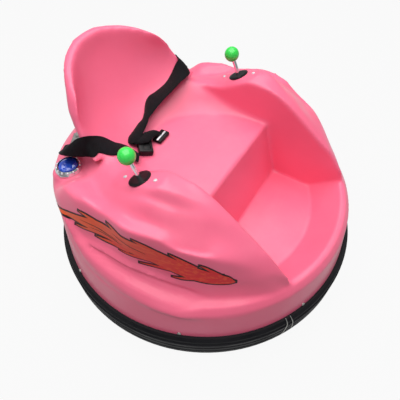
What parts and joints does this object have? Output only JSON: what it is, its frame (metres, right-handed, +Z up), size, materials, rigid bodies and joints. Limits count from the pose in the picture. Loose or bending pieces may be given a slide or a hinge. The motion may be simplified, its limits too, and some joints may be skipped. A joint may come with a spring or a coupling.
{
  "type": "battery bumper car for one child",
  "caption": "Round battery bumper car for a child: moulded body with dished seat back, foot well and armrest joysticks, rubber bumper ring, drive wheels and swivel casters.",
  "frame": {"origin": "on the floor under the centre of the round body", "axes": "+Z up, -Y forward as the driver faces, +X to the driver's left"},
  "size_m": [0.78, 0.78, 0.507],
  "materials": {
    "axle": "bright turned steel",
    "battery_case": "moulded dark grey case",
    "bezel": "chromed plastic",
    "body": "glossy pink gelcoat",
    "bracket": "black powder coat",
    "buckle": "matt black",
    "bumper": "satin black extruded rubber",
    "caster_tread": "dark grey moulded wheel",
    "frame": "black powder coat",
    "hub": "grey moulded nylon",
    "knob": "glossy fluorescent green",
    "lens": "clear blue faceted lens",
    "motor": "dark grey enamel",
    "stick": "polished steel",
    "switch": "matt black",
    "tongue": "bright plated steel",
    "tray": "black powder coat",
    "tyre": "black solid rubber",
    "washer": "satin black",
    "webbing": "black woven polyester",
    "zinc": "zinc plated pressed steel"
  },
  "bodies": {
    "body": {"battery": "battery_case", "battery_tray": "tray", "belt_anchor_left": "zinc", "belt_anchor_right": "zinc", "body_shell": "body", "buckle_housing": "buckle", "buckle_tongue": "tongue", "bumper_ring": "bumper", "chassis_frame": "frame", "drive_motor_left": "motor", "drive_motor_right": "motor", "front_caster_plate": "zinc", "joystick_ball_left": "knob", "joystick_ball_right": "knob", "joystick_shaft_left": "stick", "joystick_shaft_right": "stick", "joystick_switch_left": "switch", "joystick_switch_right": "switch", "joystick_washer_left": "washer", "joystick_washer_right": "washer", "lamp_bezel_left": "bezel", "lamp_bezel_right": "bezel", "lamp_lens_left": "lens", "lamp_lens_right": "lens", "lap_belt_left": "webbing", "lap_belt_right": "webbing", "motor_bracket_left": "bracket", "motor_bracket_right": "bracket", "rear_caster_plate": "zinc"},
    "drive_wheel_left": {"drive_axle_left": "axle", "drive_hub_left": "hub", "drive_tyre_left": "tyre"},
    "drive_wheel_right": {"drive_axle_right": "axle", "drive_hub_right": "hub", "drive_tyre_right": "tyre"},
    "front_caster": {"front_caster_axle": "axle", "front_caster_fork": "zinc"},
    "front_caster_wheel": {"front_caster_wheel": "caster_tread"},
    "rear_caster": {"rear_caster_axle": "axle", "rear_caster_fork": "zinc"},
    "rear_caster_wheel": {"rear_caster_wheel": "caster_tread"}
  },
  "joints": [
    {"name": "left_drive_wheel_turn", "type": "hinge", "parent": "body", "child": "drive_wheel_left", "pos_m": [0.235, 0, 0.075], "axis": [1, 0, 0], "continuous": true},
    {"name": "right_drive_wheel_turn", "type": "hinge", "parent": "body", "child": "drive_wheel_right", "pos_m": [-0.235, 0, 0.075], "axis": [1, 0, 0], "continuous": true},
    {"name": "front_caster_swivel", "type": "hinge", "parent": "body", "child": "front_caster", "pos_m": [0, -0.262, 0.088], "axis": [0, 0, 1], "continuous": true},
    {"name": "front_caster_wheel_turn", "type": "hinge", "parent": "front_caster", "child": "front_caster_wheel", "pos_m": [0, -0.234, 0.0375], "axis": [1, 0, 0], "continuous": true},
    {"name": "rear_caster_swivel", "type": "hinge", "parent": "body", "child": "rear_caster", "pos_m": [0, 0.262, 0.088], "axis": [0, 0, 1], "continuous": true},
    {"name": "rear_caster_wheel_turn", "type": "hinge", "parent": "rear_caster", "child": "rear_caster_wheel", "pos_m": [0, 0.29, 0.0375], "axis": [1, 0, 0], "continuous": true}
  ]
}
